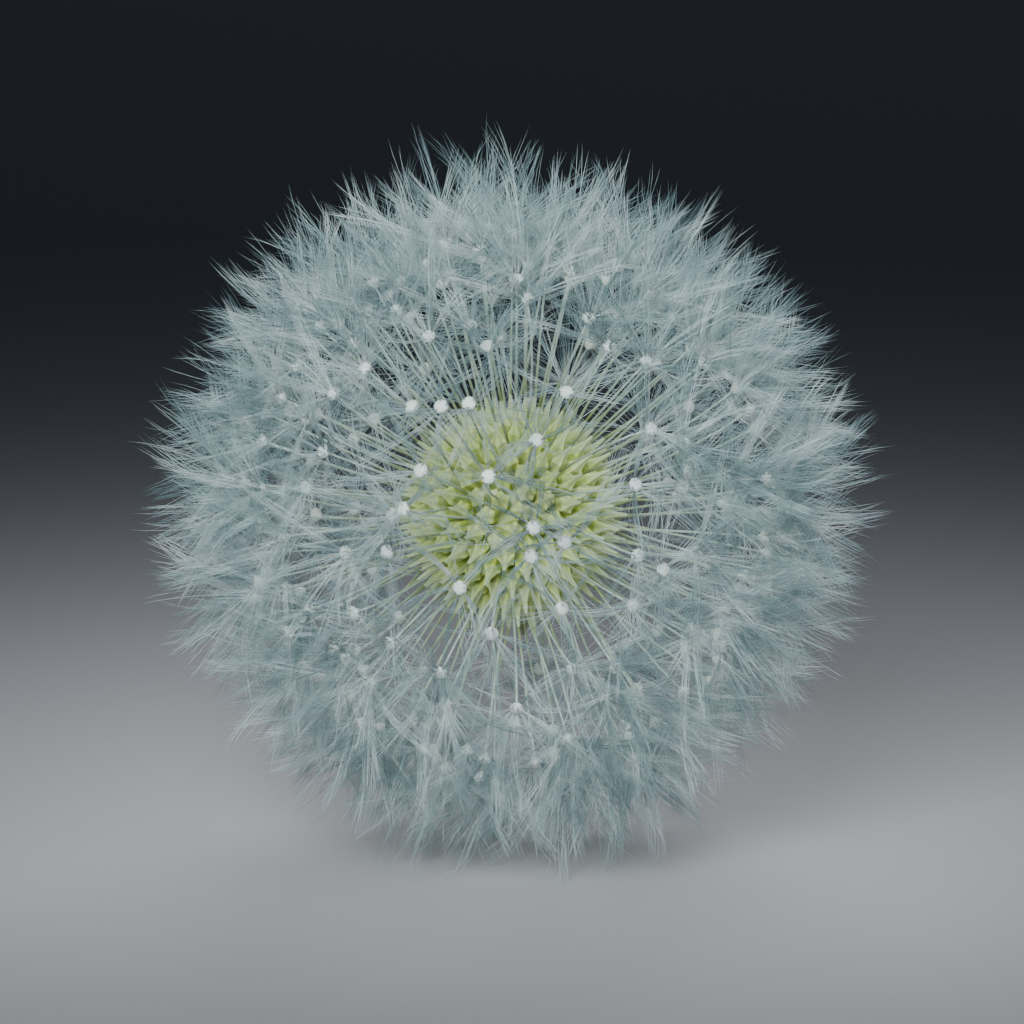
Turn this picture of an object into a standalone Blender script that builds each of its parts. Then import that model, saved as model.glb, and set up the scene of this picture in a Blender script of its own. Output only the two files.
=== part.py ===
"""A dandelion seed head, picked off its stem and set down on its own down.

Frame: metres, +Z up, the origin on the surface under the middle of the head's box. The apex of the head
faces -Y, tipped up a little, and the cut stem is behind. Each seed is an achene on the receptacle, a thin
beak, and a parachute of rays. The pale beaks and rays interlock in one body, and the achenes are one body
with the receptacle.
"""

import math
import random

import bmesh
import bpy
from mathutils import Matrix, Vector

MM = 0.001

# The head. Distances are measured from its middle, and places along its axis are positive to the apex.
CENTRE_HEIGHT = 18.7 * MM  # under the head's 20.7 mm radius: the down is pressed flat where it rests
CENTRE_BACK = 1.0 * MM  # the head reaches further at the apex than behind, and this centres its box
APEX_ELEVATION = math.radians(13)
SEED_COUNT = 134
LAST_ROW = math.radians(140)  # from the apex to the row of seeds next to the stem
SCATTER = 13  # seeds the small random leans and turns; with it every parachute crosses a neighbour
LEAN = 0.06
REACH_SPREAD = 0.5 * MM

# The down: beaks, hubs and rays.
HUB_DISTANCE = 14.9 * MM
HUB_RADIUS = 0.55 * MM
HUB_DEPTH = 0.6 * MM
BEAK_RADIUS = 0.2 * MM
BEAK_SIDES = 3
RAYS = 9
RAY_LENGTH = 6.8 * MM
# Between a ray and the seed's axis, in turn round the hub.
RAY_SPREADS = [math.radians(a) for a in (40, 56, 70)]
FOOT_DEPTH = 0.22 * MM  # thickness of a ray where it bends to lie along the surface
FOOT_HALF_WIDTH = 0.13 * MM

# The receptacle and its achenes.
RECEPTACLE_RADIUS = 3.6 * MM
RECEPTACLE_SIDES = 16
RECEPTACLE_RINGS = 10
NECK_RADIUS = 2.1 * MM
NECK_END = -4.3 * MM
ACHENE_SIDES = 4
ACHENE_ROOT = 2.9 * MM
ACHENE_WIDEST = 5.0 * MM
ACHENE_TIP = 6.3 * MM
ACHENE_ROOT_RADIUS = 0.3 * MM
ACHENE_WIDEST_RADIUS = 0.62 * MM
ACHENE_TIP_RADIUS = 0.16 * MM
GAP = 0.3 * MM  # between one body and the next

# The stem and the bracts behind the receptacle.
STEM_RADIUS = 1.7 * MM
STEM_BORE = 1.0 * MM
STEM_FLARE = 0.25 * MM
STEM_END = -10.0 * MM
COLLAR_RADIUS = 2.6 * MM
COLLAR_DEPTH = 0.9 * MM
BRACT_THICKNESS = 0.6 * MM
BRACT_SWELL = (0.25, 0.95)  # the stretch of half a sine wave that its width follows, base to tip
# A blade's midline, in millimetres, as (distance from the axis, place along it).
INNER_BRACTS = 13
INNER_HALF_WIDTH = 1.05 * MM
INNER_MIDLINE = ((2.3, -5.05), (3.3, -5.6), (4.2, -7.1), (4.8, -9.4), (5.3, -11.7), (6.0, -13.6))
OUTER_BRACTS = 9
OUTER_HALF_WIDTH = 0.8 * MM
OUTER_MIDLINE = ((2.3, -5.1), (2.8, -6.1), (3.1, -7.5), (3.2, -9.0), (3.6, -10.4))

TURN_STEPS = 20
MERGE_DISTANCE = 0.01 * MM
GOLDEN_ANGLE = math.pi * (3 - math.sqrt(5))
UP = Vector((0, 0, 1))
# From the head's own axes, with its apex along +Z, to the world's.
TIPPED = Matrix.Rotation(math.pi / 2 - APEX_ELEVATION, 4, "X")
HEAD = Matrix.Translation((0, CENTRE_BACK, CENTRE_HEIGHT)) @ TIPPED


def clear_scene():
    for obj in list(bpy.data.objects):
        bpy.data.objects.remove(obj, do_unlink=True)


def new_collection(name):
    collection = bpy.data.collections.new(name)
    bpy.context.scene.collection.children.link(collection)
    return collection


def material(name, colour, roughness):
    made = bpy.data.materials.new(name)
    made.use_nodes = True
    shader = made.node_tree.nodes["Principled BSDF"]
    shader.inputs["Base Color"].default_value = (*colour, 1)
    shader.inputs["Roughness"].default_value = roughness
    shader.inputs["Metallic"].default_value = 0
    return made


def mesh_object(name, bm, collection, place=None):
    """Turns the bmesh into an object at that place."""
    mesh = bpy.data.meshes.new(name)
    bm.to_mesh(mesh)
    bm.free()
    obj = bpy.data.objects.new(name, mesh)
    collection.objects.link(obj)
    if place is not None:
        obj.matrix_world = place
    return obj


def fuse(name, base, repeats, finish):
    """Joins the base and the repeats in one solid, then removes the repeats' objects and their collection."""
    union = base.modifiers.new("fused", "BOOLEAN")
    union.operation = "UNION"
    union.operand_type = "COLLECTION"
    union.solver = "MANIFOLD"
    union.collection = repeats
    bpy.context.view_layer.update()
    graph = bpy.context.evaluated_depsgraph_get()
    mesh = bpy.data.meshes.new_from_object(base.evaluated_get(graph), depsgraph=graph)
    base.modifiers.clear()
    base.data = mesh
    base.name = mesh.name = name
    mesh.materials.clear()
    mesh.materials.append(finish)
    for obj in list(repeats.objects):
        bpy.data.objects.remove(obj, do_unlink=True)
    bpy.data.collections.remove(repeats)
    return base


def turned(name, section, collection):
    """A ring turned round the head's axis. Its section's corners are (distance from the axis, place)."""
    bm = bmesh.new()
    corners = [bm.verts.new((r, 0, z)) for r, z in section]
    for i, corner in enumerate(corners):
        bm.edges.new((corner, corners[(i + 1) % len(corners)]))
    ring = mesh_object(name, bm, collection, HEAD)
    screw = ring.modifiers.new("turned", "SCREW")
    screw.steps = screw.render_steps = TURN_STEPS
    screw.use_merge_vertices = True
    screw.merge_threshold = MERGE_DISTANCE
    return ring


def seed_axes():
    """Unit vectors of the seeds in the head's axes: a golden-angle spiral from the apex to the last row."""
    lowest = math.cos(LAST_ROW)
    axes = []
    for i in range(SEED_COUNT):
        z = 1 - (1 - lowest) * (i + 0.5) / SEED_COUNT
        r = math.sqrt(1 - z * z)
        turn = i * GOLDEN_ANGLE
        axes.append(Vector((r * math.cos(turn), r * math.sin(turn), z)))
    return axes


def ray_route(hub, heading):
    """(bend, tip) of a ray, which turns at a bend to lie along the surface if it would go under it."""
    tip = hub + heading * RAY_LENGTH
    if tip.z >= 0:
        return None, tip
    run = hub.z / -heading.z
    bend = hub + heading * run
    along = Vector((heading.x, heading.y, 0)).normalized()
    return bend, bend + along * (RAY_LENGTH - run)


def draw_out(bm, side, hub, heading):
    """Draws a side of the hub out to a pointed ray. Past a bend, the ray's outer side lies on the surface."""
    bend, tip = ray_route(hub, heading)
    if bend is not None:
        side = bmesh.ops.extrude_discrete_faces(bm, faces=[side])["faces"][0]
        outer_first = sorted(side.verts, key=lambda vert: (vert.co - hub).length)
        bmesh.ops.pointmerge(bm, verts=outer_first[2:], merge_co=bend + UP * FOOT_DEPTH)
        outer = outer_first[:2]
        across = (tip - bend).normalized().cross(UP) * FOOT_HALF_WIDTH
        if (outer[1].co - outer[0].co).dot(across) < 0:
            across = -across
        outer[0].co = bend - across
        outer[1].co = bend + across
    side = bmesh.ops.extrude_discrete_faces(bm, faces=[side])["faces"][0]
    bmesh.ops.pointmerge(bm, verts=side.verts[:], merge_co=tip)


def seed_down(foot, hub, turn):
    """One seed's beak and parachute: a cone for the hub, with each of its sides drawn out to a ray."""
    axis = (hub - foot).normalized()
    stand = Matrix.Translation(hub) @ axis.to_track_quat("Z", "Y").to_matrix().to_4x4()
    bm = bmesh.new()
    bmesh.ops.create_cone(
        bm,
        cap_ends=True,
        segments=RAYS,
        radius1=BEAK_RADIUS,
        radius2=HUB_RADIUS,
        depth=HUB_DEPTH,
        matrix=stand @ Matrix.Rotation(turn, 4, "Z") @ Matrix.Translation((0, 0, -HUB_DEPTH / 2)),
    )
    sides = [face for face in bm.faces if len(face.verts) == 4]
    neck_end, _ = sorted((face for face in bm.faces if face not in sides), key=lambda face: face.calc_area())
    neck = [loop.vert for loop in neck_end.loops]
    group = RAYS // BEAK_SIDES
    welds = {neck[i]: neck[i - i % group + group // 2] for i in range(RAYS) if i % group != group // 2}
    bmesh.ops.weld_verts(bm, targetmap=welds)
    root = bmesh.ops.extrude_discrete_faces(bm, faces=[neck_end])["faces"][0]
    bmesh.ops.translate(bm, verts=root.verts, vec=foot + axis * HUB_DEPTH - hub)
    for i, side in enumerate(sides):
        middle = side.calc_center_median() - hub
        outwards = (middle - axis * middle.dot(axis)).normalized()
        spread = RAY_SPREADS[i % len(RAY_SPREADS)]
        draw_out(bm, side, hub, axis * math.cos(spread) + outwards * math.sin(spread))
    return bm


def build_down(collection, finish):
    """Every beak and parachute, in one body where the rays of neighbouring seeds cross."""
    chance = random.Random(SCATTER)
    parts = new_collection("down_parts")
    seeds = []
    for i, axis in enumerate(seed_axes()):
        lean = Vector([chance.uniform(-LEAN, LEAN) for _ in range(3)])
        reach = HUB_DISTANCE + chance.uniform(-REACH_SPREAD, REACH_SPREAD)
        foot = HEAD @ (axis * (ACHENE_TIP + GAP))
        hub = HEAD @ ((axis + lean).normalized() * reach)
        seeds.append(mesh_object(f"seed_{i}", seed_down(foot, hub, chance.uniform(0, math.tau)), parts))
    base = seeds[0]
    parts.objects.unlink(base)
    collection.objects.link(base)
    return fuse("down", base, parts, finish)


def achene():
    """A spindle along +Z that is widest past its middle and drawn in to a tip."""
    bm = bmesh.new()
    bmesh.ops.create_cone(
        bm,
        cap_ends=True,
        segments=ACHENE_SIDES,
        radius1=ACHENE_ROOT_RADIUS,
        radius2=ACHENE_WIDEST_RADIUS,
        depth=ACHENE_WIDEST - ACHENE_ROOT,
        matrix=Matrix.Translation((0, 0, (ACHENE_WIDEST + ACHENE_ROOT) / 2)),
    )
    top = max(bm.faces, key=lambda face: face.calc_center_median().z)
    tip = bmesh.ops.extrude_discrete_faces(bm, faces=[top])["faces"][0]
    draw_in = ACHENE_TIP_RADIUS / ACHENE_WIDEST_RADIUS
    for vert in tip.verts:
        vert.co = (vert.co.x * draw_in, vert.co.y * draw_in, ACHENE_TIP)
    return bm


def build_receptacle(collection, finish):
    """The convex cushion with its neck, and the achenes that stand on it, rooted well in."""
    bm = bmesh.new()
    bmesh.ops.create_uvsphere(
        bm, u_segments=RECEPTACLE_SIDES, v_segments=RECEPTACLE_RINGS, radius=RECEPTACLE_RADIUS
    )
    base = mesh_object("receptacle", bm, collection, HEAD)
    parts = new_collection("receptacle_parts")
    neck_top = -RECEPTACLE_RADIUS / 2
    bm = bmesh.new()
    bmesh.ops.create_cone(
        bm,
        cap_ends=True,
        segments=RECEPTACLE_SIDES,
        radius1=NECK_RADIUS,
        radius2=NECK_RADIUS,
        depth=neck_top - NECK_END,
        matrix=Matrix.Translation((0, 0, (neck_top + NECK_END) / 2)),
    )
    mesh_object("neck", bm, parts, HEAD)
    for i, axis in enumerate(seed_axes()):
        stand = axis.to_track_quat("Z", "Y").to_matrix().to_4x4()
        mesh_object(f"achene_{i}", achene(), parts, HEAD @ stand)
    return fuse("receptacle", base, parts, finish)


def bract(half_width, midline):
    """A lance-shaped blade along the midline, as an open sheet that is still to get its thickness."""
    bm = bmesh.new()
    start, end = BRACT_SWELL
    rows = []
    for i, (r, z) in enumerate(midline):
        share = i / (len(midline) - 1)
        width = half_width * math.sin(math.pi * (start + (end - start) * share))
        rows.append([bm.verts.new((r * MM, side * width, z * MM)) for side in (-1, 1)])
    for near, far in zip(rows, rows[1:]):
        bm.faces.new((near[0], near[1], far[1], far[0]))
    return bm


def build_bracts(collection, finish):
    """The collar under the receptacle, with two whorls of narrow bracts turned back along the stem."""
    top = NECK_END - GAP
    bottom = top - COLLAR_DEPTH
    inner = STEM_RADIUS + GAP
    section = ((inner, top), (COLLAR_RADIUS, top), (COLLAR_RADIUS, bottom), (inner, bottom))
    base = turned("bracts", section, collection)
    parts = new_collection("bract_parts")
    whorls = (
        (INNER_BRACTS, INNER_HALF_WIDTH, INNER_MIDLINE),
        (OUTER_BRACTS, OUTER_HALF_WIDTH, OUTER_MIDLINE),
    )
    for count, half_width, midline in whorls:
        for i in range(count):
            place = HEAD @ Matrix.Rotation(math.tau * i / count, 4, "Z")
            blade = mesh_object(f"bract_{i}", bract(half_width, midline), parts, place)
            wall = blade.modifiers.new("wall", "SOLIDIFY")
            wall.thickness = BRACT_THICKNESS
            wall.offset = 0
    return fuse("bracts", base, parts, finish)


def build_stem(collection, finish):
    """What is left of the stem: a short hollow tube, a little wider at the cut."""
    top = NECK_END - GAP
    wide = STEM_RADIUS + STEM_FLARE
    section = ((STEM_BORE, top), (STEM_RADIUS, top), (wide, STEM_END), (STEM_BORE + STEM_FLARE, STEM_END))
    stem = turned("stem", section, collection)
    stem.data.materials.append(finish)
    return stem


def main():
    clear_scene()
    head = new_collection("dandelion_seed_head")
    build_down(head, material("down", (0.86, 0.9, 0.92), 0.6))
    build_receptacle(head, material("achenes", (0.62, 0.66, 0.26), 0.6))
    build_bracts(head, material("bracts", (0.22, 0.34, 0.1), 0.6))
    build_stem(head, material("stem", (0.5, 0.58, 0.34), 0.5))


main()
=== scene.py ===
"""A dandelion clock, dressed for a close look: silky parachutes, beaks, achenes, bracts and the cut stem.

The head is one rigid body. Its middle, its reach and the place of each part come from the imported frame,
and the sizes of what is too fine for the frame are named below. Nearly everything is modelled once, along
+Z, and copied into place.
"""

import math
import random

import bmesh
import bpy
from mathutils import Matrix, Vector


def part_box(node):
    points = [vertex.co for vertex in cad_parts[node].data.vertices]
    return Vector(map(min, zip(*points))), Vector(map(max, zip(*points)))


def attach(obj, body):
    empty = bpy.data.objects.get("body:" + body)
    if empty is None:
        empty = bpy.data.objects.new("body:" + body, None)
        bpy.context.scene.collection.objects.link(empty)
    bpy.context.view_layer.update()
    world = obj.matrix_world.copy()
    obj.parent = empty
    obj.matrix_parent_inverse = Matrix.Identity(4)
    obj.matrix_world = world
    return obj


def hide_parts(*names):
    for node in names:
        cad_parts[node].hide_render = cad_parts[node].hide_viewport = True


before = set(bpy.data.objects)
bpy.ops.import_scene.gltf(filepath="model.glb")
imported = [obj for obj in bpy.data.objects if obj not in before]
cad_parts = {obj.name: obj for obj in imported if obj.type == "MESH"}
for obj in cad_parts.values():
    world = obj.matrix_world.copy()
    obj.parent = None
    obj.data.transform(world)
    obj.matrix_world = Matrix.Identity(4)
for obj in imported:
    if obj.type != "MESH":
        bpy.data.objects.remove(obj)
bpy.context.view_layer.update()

MM = 0.001
APEX_ELEVATION = math.radians(13)
GOLDEN_ANGLE = math.pi * (3 - math.sqrt(5))

# Zones of seeds, from the apex to the stem: (kinds of parachute, hairs of each, seeds that wear them).
# The seeds near the apex ripen last and carry fewer hairs, and those round the stem carry the most.
ZONES = ((5, 72, 16), (10, 116, 122), (10, 146, 66))

# The head, measured from its middle.
SEED_COUNT = sum(seeds for _, _, seeds in ZONES)
LAST_ROW = math.radians(149)  # from the apex to the seeds next to the stem
HUB_REACH = 14.3 * MM
HUB_REACH_SPREAD = 0.7 * MM
SEED_LEAN = 0.1

# A parachute: hairs on the rim of a small white disc, some single and some clinging together in tufts.
TUFT_SIZES = (1, 2, 3, 5, 6, 8, 12)
SPREADS = (math.radians(24), math.radians(72))  # between a tuft and its beak, inmost and outmost
SPREAD_BIAS = 0.8  # under 1, so that more tufts lie flat than stand steep
ROOTS = (0.35, 0.8)  # where the inmost and outmost tufts stand, as shares of the hub's radius
STRAY = 0.3  # how far a hair or tuft strays from its place round the hub, on the way to the next
HAIR_LENGTH = 6.6 * MM
HAIR_RADIUS = 0.014 * MM
HAIR_TIP_RADIUS = 0.009 * MM
HAIR_RINGS = (0.22, 0.45, 0.67)  # where a hair can bend, as a share of its length
HAIR_TAPER = 0.86  # share of the length where the tip starts
HAIR_BOWS = (0.02 * MM, 0.3 * MM)
TUFT_SWAY = 3.7 * MM  # the furthest that a tuft leans either way, which few do
TUFT_REACHES = (0.88, 1.06)  # of its hairs' length
HAIR_REACHES = (0.82, 1.04)  # of its tuft's reach
TIP_SCATTER = 0.22 * MM
OWN_SHADE = 0.25  # share of a hair's whiteness that is its own, and not its tuft's
FOOT_FADE = 8  # how soon the white foot of a hair fades into its own shade
LIE_HEIGHT = 0.06 * MM  # above the surface, where the down is pressed on it
HUB_RADIUS = 0.42 * MM
HUB_DOME = ((0.28, 0.86), (0.2, 0.6))  # (rise in hub radii, share of the width below)
BEAK_RADIUS = 0.075 * MM
BEAK_HEAD_RADIUS = 0.06 * MM
BEAK_BOW = 0.3 * MM

# An achene, measured along it from the middle of the head.
ACHENE_ROOT = 2.8 * MM
ACHENE_SHOULDER = 5.0 * MM
ACHENE_RIBS = 5
ACHENE_ROOT_RADIUS = 0.22 * MM
ACHENE_RADIUS = 0.56 * MM
ACHENE_TIP_RADIUS = 0.1 * MM
ACHENE_RINGS = (0.35, 0.75)  # shares of the body, between which it swells
ACHENE_SWELL = 1.12
ACHENE_FLATNESS = (0.8, 1)  # thickness as a share of the width
FURROW = 0.8  # a furrow's distance from the axis, as a share of a rib's
# The conical neck: (rise, share of the body's radius).
ACHENE_NECK = ((0.25 * MM, 0.62), (0.4 * MM, 0.31), (0.65 * MM, ACHENE_TIP_RADIUS / ACHENE_RADIUS))
TOOTH_LENGTH = 0.26 * MM
TOOTH_RADIUS = 0.07 * MM
TOOTH_TILT = math.radians(32)
TOOTH_ROWS = ((0.78, 0.52 * MM), (0.9, 0.5 * MM), (1.02, 0.44 * MM))  # (share of the body, distance out)

# The bracts and the stem. Places along the head's axis are positive towards the apex.
CUSHION_RADIUS = 3.6 * MM
CUSHION_BASE = -2.808 * MM
CUSHION_NECK = ((0.35 * MM, 0.93), (0.5 * MM, 0.96), (0.6 * MM, 1.08))  # (drop, share of the width above)
COLLAR_RADIUS = 2.6 * MM
COLLAR_DEPTH = 0.9 * MM
COLLAR_ROUNDING = 0.25 * MM
STEM_TOP = -4.6 * MM
STEM_END = -10.0 * MM
STEM_RADIUS = 1.7 * MM
STEM_FLARE = 0.25 * MM
STEM_WALL = 0.7 * MM
STEM_BORE_DEPTH = 0.9  # share of the stem's length
STEM_RINGS = (0.08, 0.3, 0.6)  # shares of its length from the cut, where it is divided
STEM_RIBS = ((9, 0.025, 0), (4, 0.015, 1))  # (ribs round it, height as a share of its radius, start)
STEM_FRAY = 0.12 * MM
BRACT_WALL = 0.22 * MM
BRACT_SWELL = (0.25, 0.97)  # the stretch of half a sine wave that its width follows, base to tip
BRACT_CURLS = (-0.5 * MM, 1.0 * MM)
BRACT_SWING = 0.5 * MM
BRACT_FOLDS = (0.15 * MM, 0.4 * MM)
BRACT_STRAY = 0.12  # how far a bract strays from its place, on the way to the next
# A blade's midline, in millimetres, as (distance from the axis, place along it).
INNER_LINE = ((2.1, -4.9), (2.9, -5.2), (3.6, -5.95), (4.2, -7.1), (4.8, -9.4), (5.3, -11.7), (6.0, -13.8))
OUTER_LINE = ((2.1, -5.0), (2.6, -5.5), (2.9, -6.3), (3.1, -7.5), (3.2, -9.0), (3.7, -10.6))
WHORLS = ((13, 1.1 * MM, INNER_LINE), (9, 0.8 * MM, OUTER_LINE))  # (bracts, half width, midline)

# The colour sockets of a Mix node, which share their names with its other sockets.
MIX_A = 6
MIX_B = 7
MIX_RESULT = 2

chance = random.Random(41)


# --- small tools --------------------------------------------------------------------------------------


def only(*objects):
    """Selects these objects and nothing else, and makes the first one active."""
    bpy.ops.object.select_all(action="DESELECT")
    for obj in objects:
        obj.select_set(True)
    bpy.context.view_layer.objects.active = objects[0]


def primitive(name, add, **sizes):
    """Adds a primitive, applies its place and names it. It is then the only thing selected."""
    bpy.ops.object.select_all(action="DESELECT")
    add(**sizes)
    bpy.ops.object.transform_apply()
    obj = bpy.context.active_object
    obj.name = obj.data.name = name
    return obj


def set_mode(mode):
    bpy.ops.object.mode_set(mode=mode)


def pick(obj, kind, test):
    """Selects the verts, edges or faces that pass the test, in edit mode, and nothing else."""
    modes = {"verts": "VERT", "edges": "EDGE", "faces": "FACE"}
    bpy.ops.mesh.select_mode(type=modes[kind])
    bpy.ops.mesh.select_all(action="DESELECT")
    bm = bmesh.from_edit_mesh(obj.data)
    for element in getattr(bm, kind):
        element.select_set(test(element))
    bm.select_flush_mode()
    bmesh.update_edit_mesh(obj.data)


def pick_top(obj):
    """Selects the highest face."""
    bm = bmesh.from_edit_mesh(obj.data)
    height = max(face.calc_center_median().z for face in bm.faces)
    pick(obj, "faces", lambda face: face.calc_center_median().z > height - 1e-6)


def extrude(way):
    bpy.ops.mesh.extrude_region_move(TRANSFORM_OT_translate={"value": way})


def resize(scale, middle):
    bpy.ops.transform.resize(value=scale, center_override=middle)


def cut(*heights):
    """Cuts the mesh in edit mode across the Z axis at these heights."""
    for z in heights:
        bpy.ops.mesh.select_all(action="SELECT")
        bpy.ops.mesh.bisect(plane_co=(0, 0, z), plane_no=(0, 0, 1), threshold=1e-9)


def finish_with(obj, kind, **settings):
    """Adds a modifier and applies it."""
    only(obj)
    modifier = obj.modifiers.new(kind.lower(), kind)
    for key, value in settings.items():
        setattr(modifier, key, value)
    bpy.ops.object.modifier_apply(modifier=modifier.name)


def copied(obj, matrix=Matrix.Identity(4)):
    """A copy with its own mesh, moved by the matrix."""
    new = obj.copy()
    new.data = obj.data.copy()
    new.data.transform(matrix)
    bpy.context.scene.collection.objects.link(new)
    return new


def joined(name, objects):
    only(*objects)
    bpy.ops.object.join()
    obj = bpy.context.active_object
    obj.name = obj.data.name = name
    return obj


def discard(*objects):
    for obj in objects:
        bpy.data.objects.remove(obj, do_unlink=True)


def stamp(obj, name, value):
    """Stores a number on each vertex, for a material to read: value(vert)."""
    layer = obj.data.attributes.get(name) or obj.data.attributes.new(name, "FLOAT", "POINT")
    layer.data.foreach_set("value", [value(vert) for vert in obj.data.vertices])


def stamp_places(obj):
    """Stores where each vertex is modelled, for a grain that follows the piece when it is bent."""
    layer = obj.data.attributes.new("modelled", "FLOAT_VECTOR", "POINT")
    layer.data.foreach_set("vector", [value for vert in obj.data.vertices for value in vert.co])


def dress(piece, finish, replaced, smooth=True):
    """Gives a finished piece its material, and ties it to the frame."""
    piece.data.materials.clear()
    piece.data.materials.append(finish)
    piece.data.polygons.foreach_set("use_smooth", [smooth] * len(piece.data.polygons))
    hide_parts(replaced)
    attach(piece, "root")


def colour(code):
    """An sRGB hex colour as linear red, green, blue and alpha."""
    parts = [int(code[i : i + 2], 16) / 255 for i in (1, 3, 5)]
    return (*(p / 12.92 if p <= 0.04045 else ((p + 0.055) / 1.055) ** 2.4 for p in parts), 1)


def node(tree, kind, links=None, stops=(), **settings):
    """Adds a node. Settings are properties or inputs, links feed inputs, and stops colour a ramp."""
    made = tree.nodes.new(kind)
    for key, value in settings.items():
        if hasattr(made, key):
            setattr(made, key, value)
        else:
            made.inputs[key.replace("_", " ")].default_value = value
    for key, source in (links or {}).items():
        tree.links.new(source, made.inputs[key])
    for i, (place, code) in enumerate(stops):
        elements = made.color_ramp.elements
        element = elements[i] if i < len(elements) else elements.new(place)
        element.position = place
        element.color = colour(code)
    return made


def new_material(name, roughness, ior):
    """A material with a Principled shader, its tree and the shader."""
    made = bpy.data.materials.new(name)
    made.use_nodes = True
    shader = made.node_tree.nodes["Principled BSDF"]
    shader.inputs["Roughness"].default_value = roughness
    shader.inputs["IOR"].default_value = ior
    return made, made.node_tree, shader


# --- the head's own frame -----------------------------------------------------------------------------

low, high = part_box("receptacle")
ACHENE_REACH = (high.z - low.z) / 2
MIDDLE = Vector((0, low.y + ACHENE_REACH, (low.z + high.z) / 2))
# From the head's own axes, with its apex along +Z, to the world's.
HEAD = Matrix.Translation(MIDDLE) @ Matrix.Rotation(math.pi / 2 - APEX_ELEVATION, 4, "X")


def seed_places():
    """(way, foot, hub, turn) of each seed: where it grows, the tip of its achene, its hub, and its turn."""
    lowest = math.cos(LAST_ROW)
    places = []
    for i in range(SEED_COUNT):
        z = 1 - (1 - lowest) * (i + 0.5) / SEED_COUNT
        r = math.sqrt(1 - z * z)
        axis = Vector((r * math.cos(i * GOLDEN_ANGLE), r * math.sin(i * GOLDEN_ANGLE), z))
        lean = Vector([chance.uniform(-SEED_LEAN, SEED_LEAN) for _ in range(3)])
        reach = HUB_REACH + chance.uniform(-HUB_REACH_SPREAD, HUB_REACH_SPREAD)
        hub = HEAD @ ((axis + lean).normalized() * reach)
        places.append((axis, HEAD @ (axis * ACHENE_REACH), hub, chance.uniform(0, math.tau)))
    return places


def standing(foot, head, turn=0):
    """The matrix that takes +Z at the origin to the way from foot to head, at head."""
    way = (head - foot).to_track_quat("Z", "Y").to_matrix().to_4x4()
    return Matrix.Translation(head) @ way @ Matrix.Rotation(turn, 4, "Z")


# --- materials ----------------------------------------------------------------------------------------


def pappus_hair():
    """Dry plant hair, grown: clear cells full of air make it silky and white, some hairs more so."""
    made, tree, shader = new_material("pappus_hair", 0.42, 1.53)
    shade = node(tree, "ShaderNodeAttribute", attribute_name="shade").outputs["Fac"]
    tone = node(
        tree,
        "ShaderNodeValToRGB",
        {"Fac": shade},
        stops=((0.0, "#7F9493"), (0.45, "#BED0CF"), (0.9, "#FFFFFF")),
    )
    # Dew and dust dull it in patches about 3 mm wide, with smaller ones in them.
    place = node(tree, "ShaderNodeTexCoord").outputs["Object"]
    patches = node(tree, "ShaderNodeTexNoise", {"Vector": place}, Scale=1 / (3 * MM), Detail=3)
    dull = node(
        tree,
        "ShaderNodeValToRGB",
        {"Fac": patches.outputs["Fac"]},
        stops=((0.4, "#B1BFC4"), (0.58, "#FFFFFF")),
    )
    both = node(
        tree,
        "ShaderNodeMix",
        {MIX_A: tone.outputs["Color"], MIX_B: dull.outputs["Color"]},
        data_type="RGBA",
        blend_type="MULTIPLY",
        Factor=1,
    )
    tree.links.new(both.outputs[MIX_RESULT], shader.inputs["Base Color"])
    return made


def beak_skin():
    """A dry stalk, grown: pale green at the achene, white at the hub, and a little streaked."""
    made, tree, shader = new_material("beak_skin", 0.5, 1.45)
    along = node(tree, "ShaderNodeAttribute", attribute_name="along").outputs["Fac"]
    tone = node(
        tree,
        "ShaderNodeValToRGB",
        {"Fac": along},
        stops=((0.0, "#B4C088"), (0.3, "#BDC9B8"), (1.0, "#DDE6E4")),
    )
    # Streaks 0.8 mm long, with finer ones in them.
    place = node(tree, "ShaderNodeTexCoord").outputs["Object"]
    streaks = node(tree, "ShaderNodeTexNoise", {"Vector": place}, Scale=1 / (0.8 * MM), Detail=3)
    worn = node(
        tree,
        "ShaderNodeValToRGB",
        {"Fac": streaks.outputs["Fac"]},
        stops=((0.3, "#D9DDCB"), (0.6, "#FFFFFF")),
    )
    both = node(
        tree,
        "ShaderNodeMix",
        {MIX_A: tone.outputs["Color"], MIX_B: worn.outputs["Color"]},
        data_type="RGBA",
        blend_type="MULTIPLY",
        Factor=1,
    )
    tree.links.new(both.outputs[MIX_RESULT], shader.inputs["Base Color"])
    return made


def hub_pith():
    """Pith, grown: packed white cells with air in them, matt, almost pure white, creamy in places."""
    made, tree, shader = new_material("hub_pith", 0.7, 1.4)
    place = node(tree, "ShaderNodeTexCoord").outputs["Object"]
    # Cells 0.1 mm wide, which is about twice as coarse as real ones, so that they show.
    cells = node(tree, "ShaderNodeTexVoronoi", {"Vector": place}, Scale=1 / (0.1 * MM))
    tone = node(
        tree,
        "ShaderNodeValToRGB",
        {"Fac": cells.outputs["Distance"]},
        stops=((0.0, "#FFFFFF"), (1.0, "#F1F2E2")),
    )
    tree.links.new(tone.outputs["Color"], shader.inputs["Base Color"])
    bump = node(
        tree,
        "ShaderNodeBump",
        {"Height": cells.outputs["Distance"]},
        Strength=0.3,
        Distance=0.02 * MM,
        invert=True,
    )
    tree.links.new(bump.outputs["Normal"], shader.inputs["Normal"])
    return made


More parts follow.
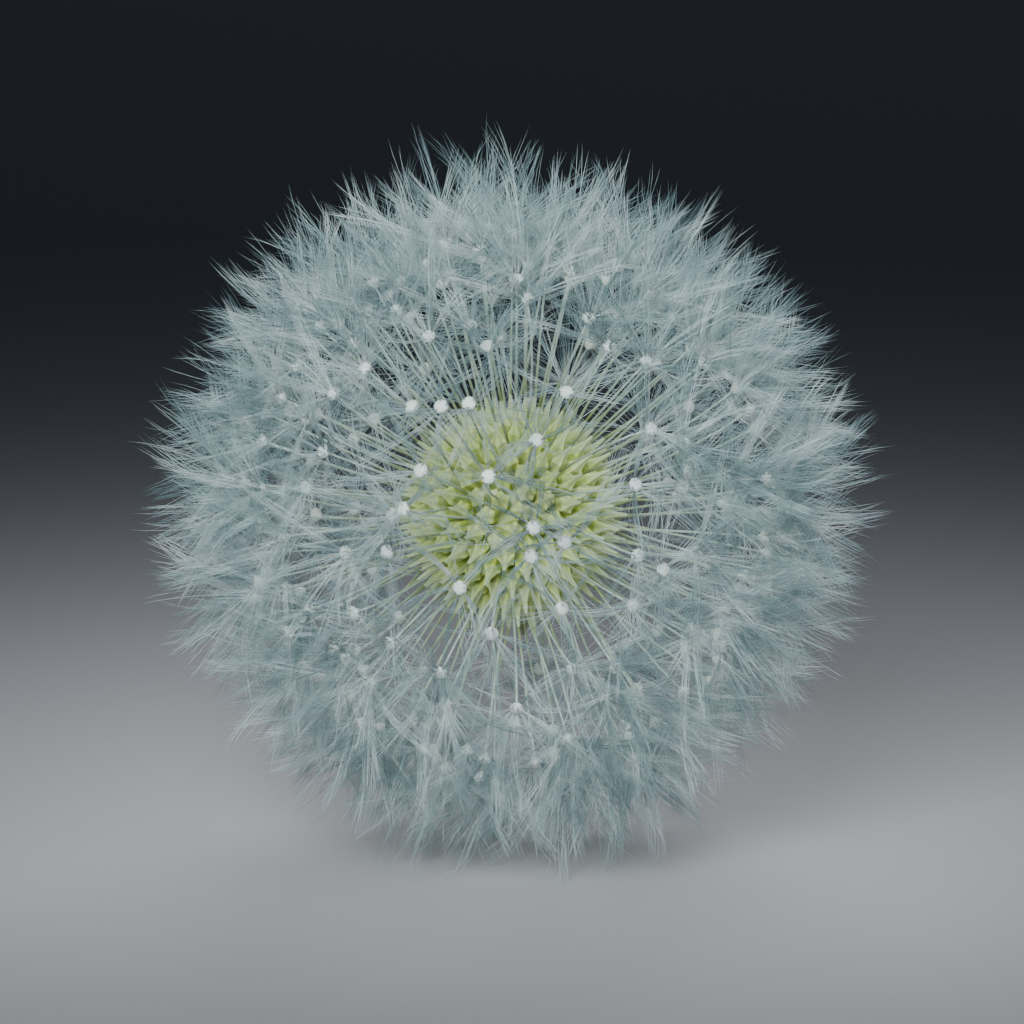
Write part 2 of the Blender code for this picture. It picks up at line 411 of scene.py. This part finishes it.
def fruit_wall():
    """A dry fruit's wall, grown: yellow-green on its ribs, olive between them, pale at its neck."""
    made, tree, shader = new_material("fruit_wall", 0.6, 1.47)
    rib = node(tree, "ShaderNodeAttribute", attribute_name="rib").outputs["Fac"]
    tint = node(tree, "ShaderNodeAttribute", attribute_name="tint").outputs["Fac"]
    along = node(tree, "ShaderNodeAttribute", attribute_name="along").outputs["Fac"]
    ridge = node(
        tree,
        "ShaderNodeValToRGB",
        {"Fac": tint},
        stops=((0.0, "#D9E468"), (0.5, "#E6ED88"), (1.0, "#F0EFAE")),
    )
    furrow = node(tree, "ShaderNodeValToRGB", {"Fac": tint}, stops=((0.0, "#9CAB4E"), (1.0, "#B6BE72")))
    body = node(
        tree,
        "ShaderNodeMix",
        {"Factor": rib, MIX_A: furrow.outputs["Color"], MIX_B: ridge.outputs["Color"]},
        data_type="RGBA",
    )
    # It pales from the shoulder to near the tip.
    fade = node(tree, "ShaderNodeMapRange", {"Value": along}, From_Min=0.62, From_Max=0.9)
    whole = node(
        tree,
        "ShaderNodeMix",
        {"Factor": fade.outputs["Result"], MIX_A: body.outputs[MIX_RESULT]},
        data_type="RGBA",
    )
    whole.inputs[MIX_B].default_value = colour("#D2DBAC")
    tree.links.new(whole.outputs[MIX_RESULT], shader.inputs["Base Color"])
    # Skin cells about 0.1 mm across.
    place = node(tree, "ShaderNodeTexCoord").outputs["Object"]
    grain = node(tree, "ShaderNodeTexNoise", {"Vector": place}, Scale=1 / (0.1 * MM), Detail=2)
    bump = node(
        tree, "ShaderNodeBump", {"Height": grain.outputs["Fac"]}, Strength=0.4, Distance=0.03 * MM
    )
    tree.links.new(bump.outputs["Normal"], shader.inputs["Normal"])
    return made


def receptacle_skin():
    """Spongy pith under a thin skin, grown: cream-green and matt, with a brown-rimmed pit for each seed."""
    made, tree, shader = new_material("receptacle_skin", 0.75, 1.42)
    # Pits 0.9 mm apart.
    place = node(tree, "ShaderNodeTexCoord").outputs["Object"]
    pits = node(tree, "ShaderNodeTexVoronoi", {"Vector": place}, Scale=1 / (0.9 * MM), feature="SMOOTH_F1")
    tone = node(
        tree,
        "ShaderNodeValToRGB",
        {"Fac": pits.outputs["Distance"]},
        stops=((0.1, "#8A8250"), (0.25, "#A9A868"), (0.4, "#D3D9A4"), (0.9, "#E4E7C6")),
    )
    tree.links.new(tone.outputs["Color"], shader.inputs["Base Color"])
    bump = node(
        tree, "ShaderNodeBump", {"Height": pits.outputs["Distance"]}, Strength=0.8, Distance=0.2 * MM
    )
    tree.links.new(bump.outputs["Normal"], shader.inputs["Normal"])
    return made


def bract_leaf():
    """Leaf skin, drying: dull green with parallel veins, thin pale edges and brown papery tips."""
    made, tree, shader = new_material("bract_leaf", 0.55, 1.45)
    along = node(tree, "ShaderNodeAttribute", attribute_name="along").outputs["Fac"]
    margin = node(tree, "ShaderNodeAttribute", attribute_name="margin").outputs["Fac"]
    tint = node(tree, "ShaderNodeAttribute", attribute_name="tint").outputs["Fac"]
    modelled = node(tree, "ShaderNodeAttribute", attribute_name="modelled").outputs["Vector"]
    flesh = node(
        tree,
        "ShaderNodeValToRGB",
        {"Fac": tint},
        stops=((0.0, "#6F8A45"), (0.6, "#869C58"), (1.0, "#9AA46A")),
    )
    # Veins 0.3 mm apart that run the length of the blade, with a little wander.
    across = node(tree, "ShaderNodeMapping", {"Vector": modelled}, Scale=(0.1, 1, 0.1))
    veins = node(
        tree,
        "ShaderNodeTexWave",
        {"Vector": across.outputs["Vector"]},
        Scale=1 / (0.3 * MM * 20 / math.tau),
        Distortion=1.5,
        Detail=1,
        bands_direction="Y",
    )
    lines = node(
        tree,
        "ShaderNodeValToRGB",
        {"Fac": veins.outputs["Fac"]},
        stops=((0.0, "#B7BF92"), (1.0, "#FFFFFF")),
    )
    veined = node(
        tree,
        "ShaderNodeMix",
        {MIX_A: flesh.outputs["Color"], MIX_B: lines.outputs["Color"]},
        data_type="RGBA",
        blend_type="MULTIPLY",
        Factor=0.8,
    )
    # The skin is thin and pale in the outer half of the strip next to each edge.
    edge = node(tree, "ShaderNodeMapRange", {"Value": margin}, From_Min=0.45, From_Max=0.95)
    edged = node(
        tree,
        "ShaderNodeMix",
        {"Factor": edge.outputs["Result"], MIX_A: veined.outputs[MIX_RESULT]},
        data_type="RGBA",
    )
    edged.inputs[MIX_B].default_value = colour("#C9CDA6")
    # The brown starts about half way along, in blotches 1.2 mm across.
    place = node(tree, "ShaderNodeTexCoord").outputs["Object"]
    blotches = node(tree, "ShaderNodeTexNoise", {"Vector": place}, Scale=1 / (1.2 * MM), Detail=3)
    withered = node(
        tree, "ShaderNodeMath", {0: along, 1: blotches.outputs["Fac"]}, operation="MULTIPLY"
    )
    dry = node(
        tree, "ShaderNodeMapRange", {"Value": withered.outputs["Value"]}, From_Min=0.38, From_Max=0.6
    )
    whole = node(
        tree,
        "ShaderNodeMix",
        {"Factor": dry.outputs["Result"], MIX_A: edged.outputs[MIX_RESULT]},
        data_type="RGBA",
    )
    whole.inputs[MIX_B].default_value = colour("#8B7650")
    tree.links.new(whole.outputs[MIX_RESULT], shader.inputs["Base Color"])
    bump = node(
        tree, "ShaderNodeBump", {"Height": veins.outputs["Fac"]}, Strength=0.5, Distance=0.05 * MM
    )
    tree.links.new(bump.outputs["Normal"], shader.inputs["Normal"])
    return made


def stem_skin():
    """A hollow milky stalk, cut: smooth green skin with long fibres, flushed red, and white pith inside."""
    made, tree, shader = new_material("stem_skin", 0.42, 1.45)
    modelled = node(tree, "ShaderNodeAttribute", attribute_name="modelled").outputs["Vector"]
    pith = node(tree, "ShaderNodeAttribute", attribute_name="pith").outputs["Fac"]
    # Fibres about 0.15 mm wide and a few millimetres long.
    stretched = node(tree, "ShaderNodeMapping", {"Vector": modelled}, Scale=(1, 1, 0.04))
    fibres = node(
        tree, "ShaderNodeTexNoise", {"Vector": stretched.outputs["Vector"]}, Scale=1 / (0.15 * MM), Detail=2
    )
    green = node(
        tree,
        "ShaderNodeValToRGB",
        {"Fac": fibres.outputs["Fac"]},
        stops=((0.3, "#94A66A"), (0.55, "#B4C08A"), (0.75, "#CDD3AB")),
    )
    # The red flush comes in clouds 2.5 mm across.
    flush = node(tree, "ShaderNodeTexNoise", {"Vector": modelled}, Scale=1 / (2.5 * MM), Detail=1)
    redness = node(
        tree, "ShaderNodeMapRange", {"Value": flush.outputs["Fac"]}, From_Min=0.5, From_Max=0.75, To_Max=0.6
    )
    skin = node(
        tree,
        "ShaderNodeMix",
        {"Factor": redness.outputs["Result"], MIX_A: green.outputs["Color"]},
        data_type="RGBA",
    )
    skin.inputs[MIX_B].default_value = colour("#A9806A")
    whole = node(
        tree,
        "ShaderNodeMix",
        {"Factor": pith, MIX_A: skin.outputs[MIX_RESULT]},
        data_type="RGBA",
    )
    whole.inputs[MIX_B].default_value = colour("#D9DCC4")
    tree.links.new(whole.outputs[MIX_RESULT], shader.inputs["Base Color"])
    bump = node(
        tree, "ShaderNodeBump", {"Height": fibres.outputs["Fac"]}, Strength=0.5, Distance=0.04 * MM
    )
    tree.links.new(bump.outputs["Normal"], shader.inputs["Normal"])
    return made


def paper_with_painted_light_pool():
    """Matt studio paper with a painted pool of light: pale grey round the head and darkening to black
    further off, as under one small lamp.
    """
    made, tree, shader = new_material("paper_with_painted_light_pool", 1.0, 1.5)
    shader.inputs["Specular IOR Level"].default_value = 0
    place = node(tree, "ShaderNodeTexCoord").outputs["Object"]
    far = node(tree, "ShaderNodeVectorMath", {0: place}, operation="LENGTH").outputs["Value"]
    # Painted light: the colour darkens with distance from the head, a pool of light and its falloff painted
    # on the floor.
    painted_falloff = node(tree, "ShaderNodeMapRange", {"Value": far}, From_Max=160 * MM)
    tone = node(
        tree,
        "ShaderNodeValToRGB",
        {"Fac": painted_falloff.outputs["Result"]},
        stops=((0.05, "#B7AEB0"), (0.27, "#7E787A"), (0.5, "#424043"), (0.72, "#232327"), (1.0, "#19191D")),
    )
    tone.color_ramp.interpolation = "B_SPLINE"
    tree.links.new(tone.outputs["Color"], shader.inputs["Base Color"])
    return made


# --- the down -----------------------------------------------------------------------------------------


def model_hair():
    """One straight three-sided hair along +Z, drawn to a point."""
    body = HAIR_LENGTH * HAIR_TAPER
    obj = primitive(
        "hair",
        bpy.ops.mesh.primitive_cone_add,
        vertices=3,
        radius1=HAIR_RADIUS,
        radius2=HAIR_TIP_RADIUS,
        depth=body,
        location=(0, 0, body / 2),
    )
    set_mode("EDIT")
    cut(*(HAIR_LENGTH * share for share in HAIR_RINGS))
    pick_top(obj)
    extrude((0, 0, HAIR_LENGTH - body))
    bpy.ops.mesh.merge(type="CENTER")
    set_mode("OBJECT")
    return obj


def model_tuft(hair, count, toward):
    """A few hairs that bow apart and meet again near their tips, turned towards their place on the hub."""
    lean_x = chance.triangular(-TUFT_SWAY, TUFT_SWAY)
    lean_y = chance.triangular(-TUFT_SWAY, TUFT_SWAY)
    sway = Vector((lean_x, lean_y, 0))
    reach = chance.uniform(*TUFT_REACHES) * math.cos(sway.length / HAIR_LENGTH)
    whiteness = chance.random()
    hairs = []
    for h in range(count):
        turn = math.tau * (h + chance.uniform(-STRAY, STRAY)) / count
        out = Vector((math.cos(turn), math.sin(turn), 0)) * chance.uniform(*HAIR_BOWS)
        drift = sway + Vector((chance.gauss(0, TIP_SCATTER), chance.gauss(0, TIP_SCATTER), 0))
        size = reach * chance.uniform(*HAIR_REACHES)
        new = copied(hair, Matrix.Rotation(turn, 4, "Z"))
        for vert in new.data.vertices:
            share = vert.co.z / HAIR_LENGTH
            bow = 4 * share * (1 - share)  # 1 half way along, and 0 at both ends
            vert.co.z *= size
            vert.co += out * bow + drift * share**2
        own = (1 - OWN_SHADE) * whiteness + OWN_SHADE * chance.random()
        stamp(new, "shade", lambda v: own + (1 - own) * max(0, 1 - v.co.z / HAIR_LENGTH) ** FOOT_FADE)
        new.data.transform(toward)
        hairs.append(new)
    return hairs


def model_parachute(hair, total):
    """Hairs and tufts round the rim of a disc at the origin, from steep ones to almost flat ones."""
    inner, outer = SPREADS
    near, far = ROOTS
    hairs = []
    tufts = 0
    while len(hairs) < total:
        count = min(chance.choice(TUFT_SIZES), total - len(hairs))
        share = (len(hairs) + chance.uniform(0, count)) / total
        spread = inner + (outer - inner) * share**SPREAD_BIAS
        around = tufts * GOLDEN_ANGLE + chance.uniform(-STRAY, STRAY)
        rim = Matrix.Translation((HUB_RADIUS * (near + (far - near) * share), 0, 0))
        toward = Matrix.Rotation(around, 4, "Z") @ rim @ Matrix.Rotation(spread, 4, "Y")
        hairs += model_tuft(hair, count, toward)
        tufts += 1
    return joined("parachute", hairs)


def press_on_surface(obj, rings, hub):
    """Bends each hair that would reach under the surface so that it lies along it."""
    verts = obj.data.vertices
    size = sum(len(ring) for ring in rings)
    for first in range(0, len(verts), size):
        for ring in rings:
            members = [verts[first + i] for i in ring]
            middle = sum((v.co for v in members), Vector()) / len(members)
            if middle.z >= LIE_HEIGHT:
                continue
            way = middle - hub
            crossing = hub + way * ((hub.z - LIE_HEIGHT) / -way.z)
            along = Vector((way.x, way.y, 0)).normalized()
            shift = crossing + along * (middle - crossing).length - middle
            for v in members:
                v.co += shift


def build_parachutes(places, finish):
    """Gives each seed one of its zone's parachutes, and joins them all in five pieces."""
    hair = model_hair()
    heights = sorted({round(v.co.z, 9) for v in hair.data.vertices})
    rings = [[v.index for v in hair.data.vertices if round(v.co.z, 9) == z] for z in heights]
    patterns = []
    for kinds, hairs, seeds in ZONES:
        patterns += [[model_parachute(hair, hairs) for _ in range(kinds)]] * seeds
    made = []
    for (_, foot, hub, turn), choice in zip(places, patterns):
        new = copied(chance.choice(choice), standing(foot, hub, turn))
        press_on_surface(new, rings, hub)
        made.append(new)
    discard(hair, *{pattern for choice in patterns for pattern in choice})
    parts = ("apex", "front", "middle", "back", "stem")
    share = math.ceil(len(made) / len(parts))
    for i, part in enumerate(parts):
        dress(joined(f"parachutes_{part}", made[i * share : (i + 1) * share]), finish, "down")


def model_beak():
    """A five-sided stalk one metre long, to be scaled to its length, with its head at the origin."""
    obj = primitive(
        "beak",
        bpy.ops.mesh.primitive_cone_add,
        vertices=5,
        radius1=BEAK_RADIUS,
        radius2=BEAK_HEAD_RADIUS,
        depth=1,
        location=(0, 0, -0.5),
    )
    set_mode("EDIT")
    cut(-0.75, -0.5, -0.25)
    set_mode("OBJECT")
    stamp(obj, "along", lambda vert: 1 + vert.co.z)
    return obj


def model_hub():
    """The small disc that the hairs stand on: a funnel on the head of the beak, with a low domed top."""
    obj = primitive(
        "hub",
        bpy.ops.mesh.primitive_cone_add,
        vertices=9,
        radius1=BEAK_RADIUS,
        radius2=HUB_RADIUS,
        depth=HUB_RADIUS,
        location=(0, 0, -HUB_RADIUS / 2),
    )
    set_mode("EDIT")
    for rise, width in HUB_DOME:
        pick_top(obj)
        extrude((0, 0, rise * HUB_RADIUS))
        resize((width, width, 1), (0, 0, 0))
    set_mode("OBJECT")
    return obj


def build_beaks(places, finish, hub_finish):
    """A beak from each achene to its parachute, a little bowed, and the hub on its head."""
    beak = model_beak()
    hub = model_hub()
    beaks = []
    hubs = []
    for _, foot, top, turn in places:
        stand = standing(foot, top, turn)
        bow = chance.uniform(-BEAK_BOW, BEAK_BOW)
        new = copied(beak)
        for vert in new.data.vertices:
            vert.co.x += bow * 4 * -vert.co.z * (1 + vert.co.z)
        new.data.transform(stand @ Matrix.Diagonal((1, 1, (top - foot).length, 1)))
        beaks.append(new)
        hubs.append(copied(hub, stand))
    discard(beak, hub)
    dress(joined("beaks", beaks), finish, "down")
    dress(joined("hubs", hubs), hub_finish, "down")


# --- the achenes and the receptacle -------------------------------------------------------------------


def model_achene():
    """A ribbed spindle along +Z, with a conical neck and rows of small teeth under it."""
    body = ACHENE_SHOULDER - ACHENE_ROOT
    sides = 2 * ACHENE_RIBS
    obj = primitive(
        "achene",
        bpy.ops.mesh.primitive_cone_add,
        vertices=sides,
        radius1=ACHENE_ROOT_RADIUS,
        radius2=ACHENE_RADIUS,
        depth=body,
        location=(0, 0, ACHENE_ROOT + body / 2),
    )
    set_mode("EDIT")
    cut(*(ACHENE_ROOT + body * share for share in ACHENE_RINGS))
    inset = 0.1 * body
    pick(obj, "verts", lambda v: ACHENE_ROOT + inset < v.co.z < ACHENE_SHOULDER - inset)
    resize((ACHENE_SWELL, ACHENE_SWELL, 1), (0, 0, 0))
    below = 1
    for rise, width in ACHENE_NECK:
        pick_top(obj)
        extrude((0, 0, rise))
        resize((width / below, width / below, 1), (0, 0, 0))
        below = width
    turn = math.tau / sides
    pick(obj, "verts", lambda v: round(math.atan2(v.co.x, v.co.y) / turn) % 2)
    resize((FURROW, FURROW, 1), (0, 0, 0))
    set_mode("OBJECT")
    stamp(obj, "rib", lambda v: 1 - round(math.atan2(v.co.x, v.co.y) / turn) % 2)
    tooth = primitive(
        "tooth", bpy.ops.mesh.primitive_cone_add, vertices=3, radius1=TOOTH_RADIUS, depth=TOOTH_LENGTH
    )
    stamp(tooth, "rib", lambda v: 1)
    teeth = []
    for height, radius in TOOTH_ROWS:
        for i in range(ACHENE_RIBS):
            around = Matrix.Rotation(2 * turn * i + math.pi / 2, 4, "Z")
            place = Matrix.Translation((radius, 0, ACHENE_ROOT + body * height))
            teeth.append(copied(tooth, around @ place @ Matrix.Rotation(TOOTH_TILT, 4, "Y")))
    discard(tooth)
    whole = joined("achene", [obj, *teeth])
    stamp(whole, "along", lambda v: (v.co.z - ACHENE_ROOT) / (ACHENE_REACH - ACHENE_ROOT))
    return whole


def build_achenes(places, finish):
    """An achene for each seed, turned at random, some flatter and some yellower than others."""
    achene = model_achene()
    made = []
    for axis, _, _, turn in places:
        stand = axis.to_track_quat("Z", "Y").to_matrix().to_4x4() @ Matrix.Rotation(turn, 4, "Z")
        new = copied(achene, HEAD @ stand @ Matrix.Diagonal((1, chance.uniform(*ACHENE_FLATNESS), 1, 1)))
        tint = chance.random()
        stamp(new, "tint", lambda vert: tint)
        made.append(new)
    discard(achene)
    dress(joined("achenes", made), finish, "receptacle", smooth=False)


def build_receptacle(finish):
    """The pitted cushion, drawn in to a neck under it and ending in a flat seat on the collar."""
    obj = primitive(
        "receptacle_cushion",
        bpy.ops.mesh.primitive_uv_sphere_add,
        segments=32,
        ring_count=20,
        radius=CUSHION_RADIUS,
    )
    set_mode("EDIT")
    bpy.ops.mesh.select_all(action="SELECT")
    bpy.ops.mesh.bisect(
        plane_co=(0, 0, CUSHION_BASE),
        plane_no=(0, 0, 1),
        clear_inner=True,
        use_fill=True,
        threshold=1e-9,
    )
    set_mode("OBJECT")  # which works out the new face's normal
    set_mode("EDIT")
    pick(obj, "faces", lambda face: face.normal.z < -0.99)
    for drop, width in CUSHION_NECK:
        extrude((0, 0, -drop))
        resize((width, width, 1), (0, 0, 0))
    set_mode("OBJECT")
    obj.data.transform(HEAD)
    dress(obj, finish, "receptacle")


# --- the bracts and the stem --------------------------------------------------------------------------


def model_bract(half_width, midline):
    """A lance-shaped blade along the midline, one layer thick, with its edge and its places stamped."""
    rows = [Vector((r * MM, 0, z * MM)) for r, z in midline]
    last = len(rows) - 1
    start, end = BRACT_SWELL
    widths = [half_width * math.sin(math.pi * (start + (end - start) * i / last)) for i in range(last + 1)]
    obj = primitive("bract", bpy.ops.mesh.primitive_plane_add, size=1)
    for vert in obj.data.vertices:
        far = int(vert.co.x > 0)
        vert.co = rows[far] + Vector((0, math.copysign(widths[far], vert.co.y), 0))
    set_mode("EDIT")
    for i in range(1, last):
        # The two ends of the last row are its half width from its middle.
        pick(obj, "verts", lambda vert: (vert.co - rows[i]).length < 1.01 * widths[i])
        bpy.ops.mesh.extrude_edges_move(TRANSFORM_OT_translate={"value": rows[i + 1] - rows[i]})
        resize((1, widths[i + 1] / widths[i], 1), rows[i + 1])
    for across in (-0.5, 0, 0.5):
        bpy.ops.mesh.select_all(action="SELECT")
        bpy.ops.mesh.bisect(plane_co=(0, across * half_width, 0), plane_no=(0, 1, 0), threshold=1e-9)
    rim = {vert.index for vert in bmesh.from_edit_mesh(obj.data).verts if vert.is_boundary}
    set_mode("OBJECT")
    stamp(obj, "margin", lambda vert: float(vert.index in rim))
    stamp(obj, "along", lambda vert: (rows[0].z - vert.co.z) / (rows[0].z - rows[-1].z))
    stamp_places(obj)
    return obj


def build_bracts(finish):
    """Two whorls of blades, folded a little along the rib and curled at random, on a rounded collar."""
    made = []
    for count, half_width, midline in WHORLS:
        blade = model_bract(half_width, midline)
        for i in range(count):
            new = copied(blade)
            curl = chance.uniform(*BRACT_CURLS)
            side = chance.uniform(-BRACT_SWING, BRACT_SWING)
            fold = chance.uniform(*BRACT_FOLDS)
            length = new.data.attributes["along"].data
            for vert in new.data.vertices:
                share = length[vert.index].value
                vert.co.x += curl * share**3 + fold * (vert.co.y / half_width) ** 2 * (0.3 + share)
                vert.co.y += side * share**2
            finish_with(new, "SUBSURF", levels=2, render_levels=2)
            finish_with(new, "SOLIDIFY", thickness=BRACT_WALL, offset=0)
            tint = chance.random()
            stamp(new, "tint", lambda vert: tint)
            turn = math.tau * (i + chance.uniform(-BRACT_STRAY, BRACT_STRAY)) / count
            new.data.transform(HEAD @ Matrix.Rotation(turn, 4, "Z"))
            made.append(new)
        discard(blade)
    collar = primitive(
        "collar",
        bpy.ops.mesh.primitive_cylinder_add,
        vertices=40,
        radius=COLLAR_RADIUS,
        depth=COLLAR_DEPTH,
        location=(0, 0, STEM_TOP - COLLAR_DEPTH / 2),
    )
    finish_with(collar, "BEVEL", width=COLLAR_ROUNDING, segments=3)
    stamp_places(collar)
    collar.data.transform(HEAD)
    dress(joined("bracts_and_collar", [collar, *made]), finish, "bracts")


def build_stem(finish):
    """A hollow stalk with shallow ribs, cut square and a little frayed at its rim."""
    obj = primitive(
        "stem_stub",
        bpy.ops.mesh.primitive_cone_add,
        vertices=36,
        radius1=STEM_RADIUS + STEM_FLARE,
        radius2=STEM_RADIUS,
        depth=STEM_TOP - STEM_END,
        location=(0, 0, (STEM_TOP + STEM_END) / 2),
    )
    set_mode("EDIT")
    pick(obj, "faces", lambda face: face.normal.z < -0.99)
    bpy.ops.mesh.inset(thickness=STEM_WALL)
    extrude((0, 0, STEM_BORE_DEPTH * (STEM_TOP - STEM_END)))
    cut(*(STEM_END + share * (STEM_TOP - STEM_END) for share in STEM_RINGS))
    set_mode("OBJECT")
    for vert in obj.data.vertices:
        around = math.atan2(vert.co.y, vert.co.x)
        width = 1 + sum(height * math.sin(ribs * around + start) for ribs, height, start in STEM_RIBS)
        vert.co.x *= width
        vert.co.y *= width
        at_the_cut = vert.co.z < STEM_END + 0.02 * MM
        if at_the_cut:
            vert.co.z += chance.uniform(0, STEM_FRAY)
    finish_with(
        obj, "BEVEL", width=0.06 * MM, segments=2, limit_method="ANGLE", angle_limit=math.radians(50)
    )
    stamp(obj, "pith", lambda vert: float(math.hypot(vert.co.x, vert.co.y) < STEM_RADIUS - 0.1 * MM))
    stamp_places(obj)
    obj.data.transform(HEAD)
    dress(obj, finish, "stem")


places = seed_places()
build_parachutes(places, pappus_hair())
build_beaks(places, beak_skin(), hub_pith())
build_achenes(places, fruit_wall())
build_receptacle(receptacle_skin())
build_bracts(bract_leaf())
build_stem(stem_skin())

# --- stage --------------------------------------------------------------------------------------------

table = primitive("tabletop", bpy.ops.mesh.primitive_plane_add, size=2)
table.data.materials.append(paper_with_painted_light_pool())

world = bpy.data.worlds.new("studio")
world.use_nodes = True
world.node_tree.nodes["Background"].inputs["Color"].default_value = colour("#1D2022")
bpy.context.scene.world = world


LIGHT_DISTANCE = 0.5


def area_light(name, azimuth, elevation, power, size, code):
    """A soft square light that faces the head. Angles are in degrees, power in watts and size in metres."""
    data = bpy.data.lights.new(name, "AREA")
    data.energy = power
    data.size = size
    data.color = colour(code)[:3]
    obj = bpy.data.objects.new(name, data)
    a, e = math.radians(azimuth), math.radians(elevation)
    way = Vector((math.sin(a) * math.cos(e), -math.cos(a) * math.cos(e), math.sin(e)))
    obj.location = MIDDLE + way * LIGHT_DISTANCE
    obj.rotation_euler = way.to_track_quat("Z", "Y").to_euler()
    bpy.context.scene.collection.objects.link(obj)


area_light("key", -14, 30, 3.8, 0.22, "#E6FAFD")
area_light("fill", 62, 12, 1.0, 0.3, "#E4F6FD")
area_light("back", 170, 35, 2.4, 0.3, "#EAF7FD")
area_light("overhead", 0, 84, 0.7, 0.6, "#EEF8FD")

FRAME_WIDTH = 55 * MM
CAMERA_DISTANCE = 0.86
SENSOR_WIDTH = 36
target = Vector((0, 0, MIDDLE.z + 0.2 * MM))
camera = bpy.data.objects.new("camera", bpy.data.cameras.new("camera"))
away = Vector((0, -math.cos(APEX_ELEVATION), math.sin(APEX_ELEVATION)))
camera.location = target + away * CAMERA_DISTANCE
camera.rotation_euler = (math.pi / 2 - APEX_ELEVATION, 0, 0)
camera.data.sensor_width = SENSOR_WIDTH
camera.data.lens = SENSOR_WIDTH * CAMERA_DISTANCE / FRAME_WIDTH
camera.data.clip_start = 0.01
bpy.context.scene.collection.objects.link(camera)
bpy.context.scene.camera = camera
